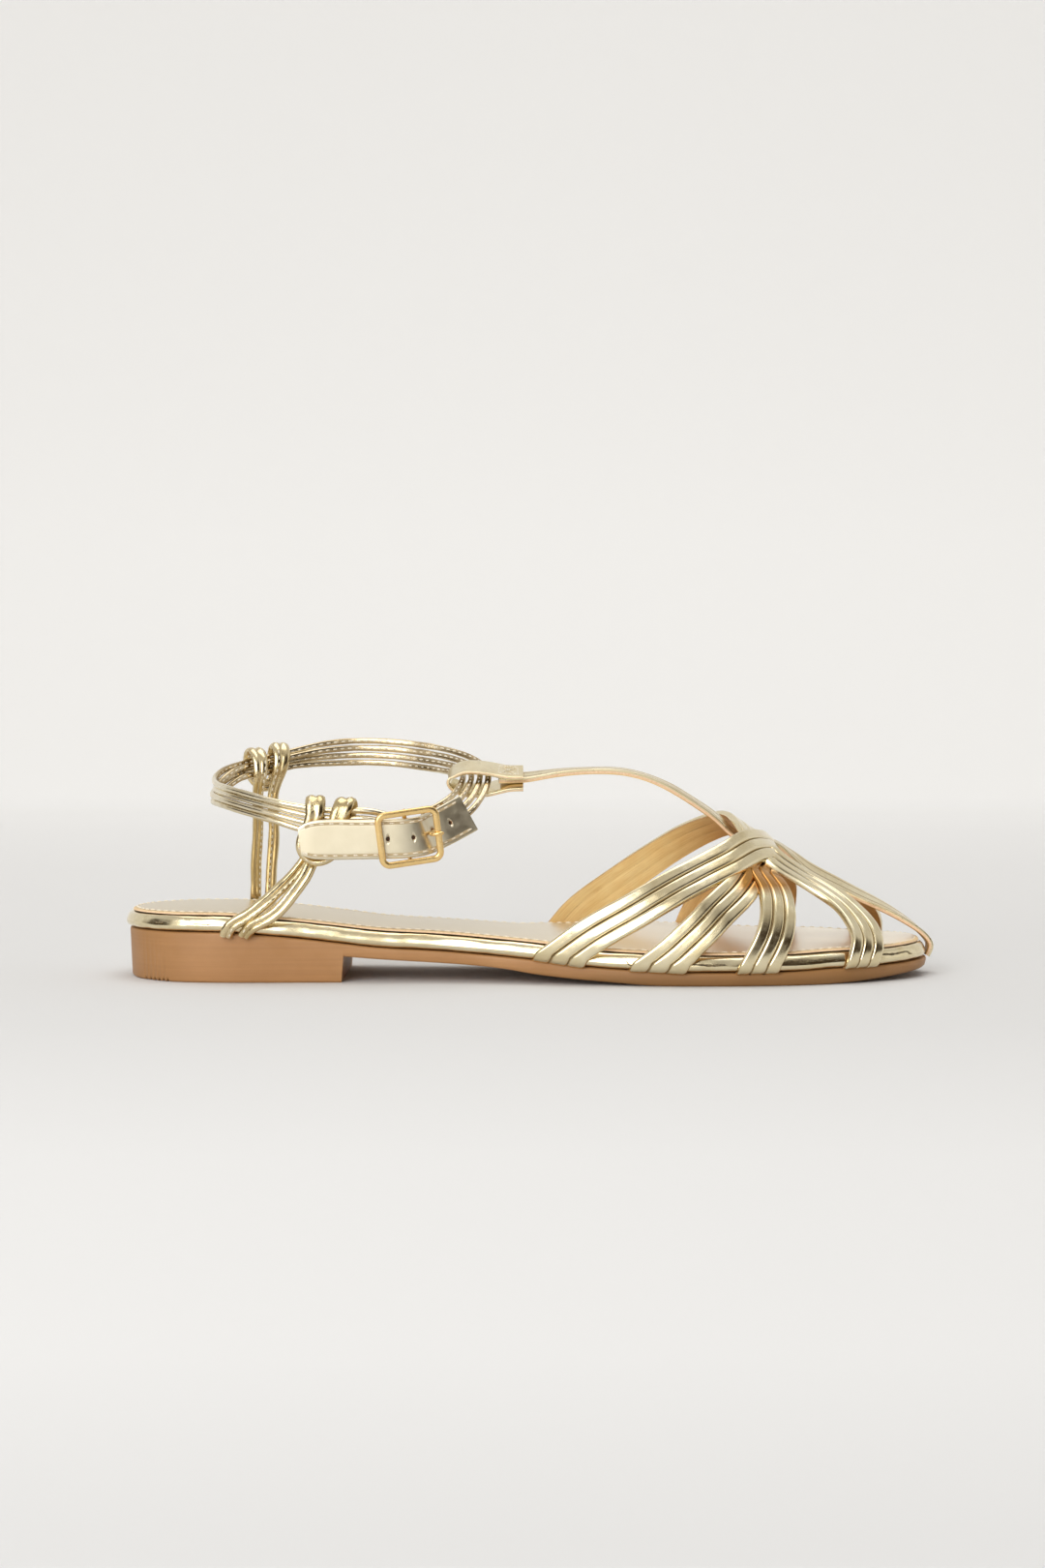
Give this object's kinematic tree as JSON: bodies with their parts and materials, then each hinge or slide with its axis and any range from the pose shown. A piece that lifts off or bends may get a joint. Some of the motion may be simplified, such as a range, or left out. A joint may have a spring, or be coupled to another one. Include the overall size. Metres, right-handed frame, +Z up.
{
  "type": "sandal",
  "caption": "flat huarache T-strap sandal in gold foil leather, braided vamp straps, buckled ankle cords, open toe, low tan rubber heel, right foot",
  "frame": {"origin": "the middle of the sandal's length and width, on the floor it stands on", "axes": "+X towards the toe, along the length of the foot; +Y towards the inner (medial) side; +Z up from the floor"},
  "size_m": [0.2504, 0.084, 0.0731],
  "materials": {
    "outsole_rubber": "satin tan rubber",
    "foil_leather": "metallic gold foil, glossy",
    "sock_satin": "satin tan lining",
    "buckle_metal": "polished warm gold plate"
  },
  "bodies": {
    "root": {"outsole": "outsole_rubber", "footbed": "foil_leather", "sock": "sock_satin", "upper": "foil_leather", "t_tab": "foil_leather", "ankle_cord_1": "foil_leather", "ankle_cord_2": "foil_leather", "ankle_cord_3": "foil_leather", "ankle_cord_4": "foil_leather", "riser_lateral": "foil_leather", "riser_medial": "foil_leather", "billet": "foil_leather", "buckle_frame": "buckle_metal", "buckle_prong": "buckle_metal", "buckle_tab": "foil_leather"}
  },
  "joints": []
}
